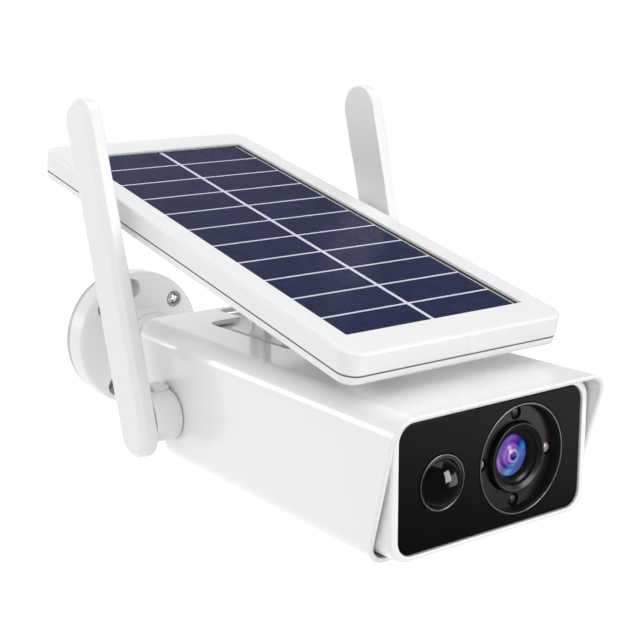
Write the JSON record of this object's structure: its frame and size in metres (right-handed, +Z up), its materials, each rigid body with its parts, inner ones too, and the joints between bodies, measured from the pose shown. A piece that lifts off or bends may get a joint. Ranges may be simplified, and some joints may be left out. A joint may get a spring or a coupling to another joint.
{
  "type": "solar security camera",
  "caption": "Wall-mounted security camera with a hooded box body, a tilting solar panel above it, flat side antennas and a swivel bracket.",
  "frame": {"origin": "centre of the wall plate's back face, where it meets the wall", "axes": "+Y into the wall, so the camera's front faces -Y; +Z up; +X to the right of someone facing the camera's front"},
  "size_m": [0.115, 0.2323, 0.1369],
  "materials": {
    "white_plastic": "satin moulded plastic",
    "grey_plastic": "matt moulded plastic",
    "black_gloss": "polished",
    "black_matt": "matt",
    "rubber": "matt",
    "circuit_board": "solder mask",
    "steel": "plated",
    "solar_cells": "laminated",
    "lens": "coated",
    "led": "clear resin",
    "battery": "film sleeve"
  },
  "bodies": {
    "wall_mount": {"wall_plate_back": "grey_plastic", "wall_plate_cover": "white_plastic", "plate_screw_1": "steel", "plate_screw_2": "steel", "plate_screw_3": "steel"},
    "swivel": {"swivel_head": "white_plastic", "knuckle_bolt": "steel"},
    "knob": {"knuckle_knob": "grey_plastic"},
    "knuckle": {"knuckle_arm": "white_plastic"},
    "lock_ring": {"lock_ring": "grey_plastic"},
    "antenna_left": {"antenna_left": "white_plastic"},
    "antenna_right": {"antenna_right": "white_plastic"},
    "solar_panel": {"panel_frame": "white_plastic", "panel_back": "white_plastic", "solar_cells": "solar_cells", "panel_lug": "white_plastic"},
    "port_cover": {"port_cover": "rubber"},
    "power_button": {"power_button": "black_matt"},
    "reset_button": {"reset_button": "black_matt"},
    "camera": {"hood": "white_plastic", "body_housing": "white_plastic", "rear_cover": "white_plastic", "front_bezel": "white_plastic", "antenna_hub_left": "white_plastic", "antenna_hub_right": "white_plastic", "panel_arm": "white_plastic", "front_glass": "black_gloss", "lens_surround": "black_gloss", "pir_dome": "black_gloss", "lens_barrel": "black_matt", "lens_mount": "black_matt", "speaker": "black_matt", "battery_holder": "black_matt", "front_gasket": "rubber", "led_board": "circuit_board", "sensor_board": "circuit_board", "main_board": "circuit_board", "port_board": "circuit_board", "hood_screw_1": "steel", "hood_screw_2": "steel", "rear_screw_1": "steel", "rear_screw_2": "steel", "rear_screw_3": "steel", "rear_screw_4": "steel", "arm_screw_1": "steel", "arm_screw_2": "steel", "antenna_pin_left": "steel", "antenna_pin_right": "steel", "panel_pin": "steel", "pir_sensor": "steel", "wifi_module": "steel", "usb_port": "steel", "card_slot": "steel", "lens_glass": "lens", "led_1": "led", "led_2": "led", "led_3": "led", "led_4": "led", "battery_cell_1": "battery", "battery_cell_2": "battery"}
  },
  "joints": [
    {"name": "swivel_turn", "type": "hinge", "parent": "wall_mount", "child": "swivel", "pos_m": [0, -0.0224, 0], "axis": [0, 1, 0], "range_deg": [-180, 180]},
    {"name": "knuckle_tilt", "type": "hinge", "parent": "swivel", "child": "knuckle", "pos_m": [0, -0.042, 0], "axis": [1, 0, 0], "range_deg": [-12, 60]},
    {"name": "camera_roll", "type": "hinge", "parent": "knuckle", "child": "camera", "pos_m": [0, -0.073, 0], "axis": [0, 1, 0], "range_deg": [-45, 45]},
    {"name": "knob_turn", "type": "hinge", "parent": "swivel", "child": "knob", "pos_m": [0.0093, -0.042, 0], "axis": [1, 0, 0], "range_deg": [-180, 180]},
    {"name": "lock_ring_turn", "type": "hinge", "parent": "knuckle", "child": "lock_ring", "pos_m": [0, -0.0693, 0], "axis": [0, 1, 0], "range_deg": [-180, 180]},
    {"name": "panel_tilt", "type": "hinge", "parent": "camera", "child": "solar_panel", "pos_m": [0, -0.123, 0.043], "axis": [1, 0, 0], "range_deg": [-20, 2]},
    {"name": "antenna_left_tilt", "type": "hinge", "parent": "camera", "child": "antenna_left", "pos_m": [-0.0515, -0.101, -0.0048], "axis": [1, 0, 0], "range_deg": [-22, 90]},
    {"name": "antenna_right_tilt", "type": "hinge", "parent": "camera", "child": "antenna_right", "pos_m": [0.0515, -0.122, -0.0048], "axis": [1, 0, 0], "range_deg": [-22, 90]},
    {"name": "port_cover_open", "type": "hinge", "parent": "camera", "child": "port_cover", "pos_m": [0, -0.1674, -0.0235], "axis": [1, 0, 0], "range_deg": [0, 110]},
    {"name": "power_press", "type": "slide", "parent": "camera", "child": "power_button", "axis": [0, 0, 1], "range_m": [0, 0.0008], "stiffness_N_per_m": 400, "springref_m": -0.0005},
    {"name": "reset_press", "type": "slide", "parent": "camera", "child": "reset_button", "axis": [0, 0, 1], "range_m": [0, 0.0008], "stiffness_N_per_m": 400, "springref_m": -0.0005}
  ]
}
